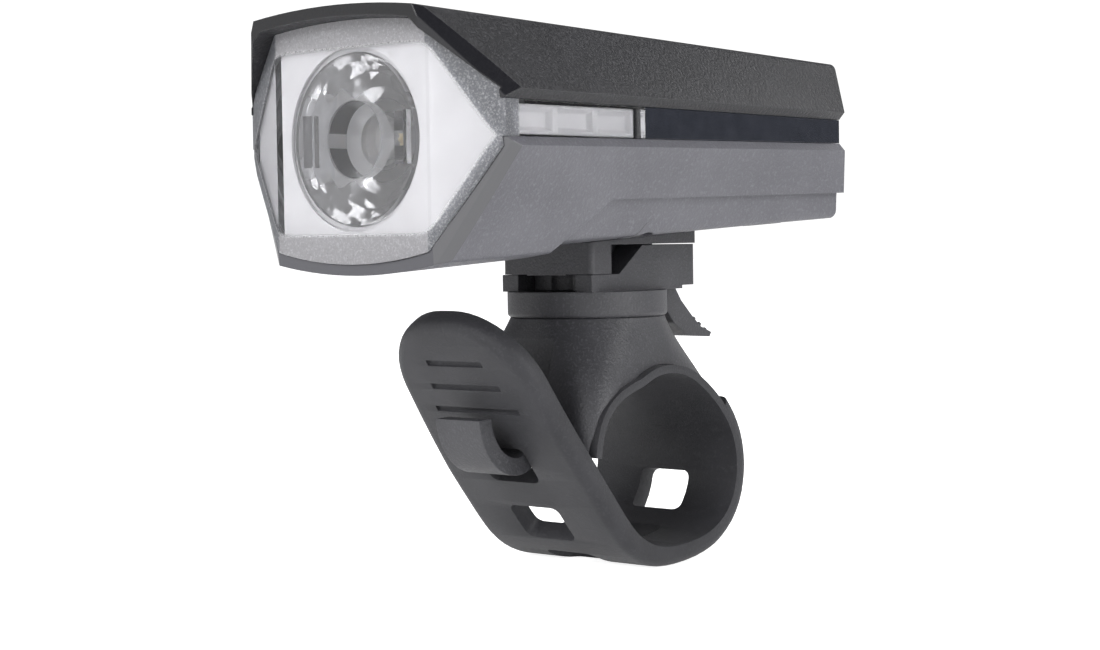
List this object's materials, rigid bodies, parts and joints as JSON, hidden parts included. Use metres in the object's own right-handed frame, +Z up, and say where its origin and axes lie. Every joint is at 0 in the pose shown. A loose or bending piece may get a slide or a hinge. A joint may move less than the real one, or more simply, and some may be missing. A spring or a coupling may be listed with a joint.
{
  "type": "bike headlight",
  "caption": "Black wedge-shaped bike headlight with a frosted lens and side windows, on a swivel shoe and hooked rubber handlebar strap.",
  "frame": {"origin": "centre of the handlebar bore, midway along the strap's width", "axes": "+X along the handlebar, the beam points to -Y, +Z up"},
  "size_m": [0.0506, 0.0823, 0.0795],
  "materials": {
    "housing_black": "fine matte texture",
    "housing_grey": "fine matte texture, slightly lighter",
    "lens_clear": "clear moulding, frosted border",
    "strip_gloss": "glossy navy black",
    "bezel_white": "satin white",
    "optic_clear": "polished clear",
    "board_white": "white solder mask on aluminium",
    "led_yellow": "yellow phosphor",
    "sink_metal": "as machined",
    "cell_wrap": "shrink film",
    "board_green": "solder mask",
    "switch_black": "moulded",
    "button_rubber": "soft matte",
    "socket_metal": "stamped",
    "cover_rubber": "soft matte",
    "screw_steel": "zinc plated",
    "mount_black": "fine matte texture",
    "strap_rubber": "silicone, satin"
  },
  "bodies": {
    "saddle": {"saddle_base": "mount_black", "strap": "strap_rubber", "swivel_nut": "screw_steel"},
    "shoe": {"release_shoe": "mount_black", "swivel_screw": "screw_steel", "swivel_washer": "screw_steel", "lever_pin": "screw_steel"},
    "lever": {"release_lever": "mount_black"},
    "head": {"upper_housing": "housing_black", "lower_housing": "housing_grey", "front_lens": "lens_clear", "side_strip_left": "strip_gloss", "side_strip_right": "strip_gloss", "optic_bezel": "bezel_white", "collimator_optic": "optic_clear", "led_board": "board_white", "led_emitter": "led_yellow", "heat_sink": "sink_metal", "battery_pack": "cell_wrap", "main_board": "board_green", "button_switch": "switch_black", "usb_socket": "socket_metal", "housing_screws": "screw_steel", "foot_rail": "mount_black", "foot_screws": "screw_steel"},
    "button": {"power_button": "button_rubber"},
    "cover": {"usb_cover": "cover_rubber"}
  },
  "joints": [
    {"name": "head_swivel", "type": "hinge", "parent": "saddle", "child": "shoe", "pos_m": [0, -0.0023, 0.021], "axis": [0, 0, 1], "range_deg": [-20, 20]},
    {"name": "head_release", "type": "slide", "parent": "shoe", "child": "head", "axis": [0, -1, 0], "range_m": [0, 0.025]},
    {"name": "lever_press", "type": "hinge", "parent": "shoe", "child": "lever", "pos_m": [0, 0.0112, 0.0272], "axis": [1, 0, 0], "range_deg": [0, 12], "stiffness_Nm_per_rad": 0.08},
    {"name": "button_press", "type": "slide", "parent": "head", "child": "button", "axis": [0, 0, -1], "range_m": [0, 0.0006], "stiffness_N_per_m": 2500},
    {"name": "cover_hinge", "type": "hinge", "parent": "head", "child": "cover", "pos_m": [0, 0.0288, 0.0476], "axis": [-1, 0, 0], "range_deg": [0, 100], "stiffness_Nm_per_rad": 0.002}
  ]
}
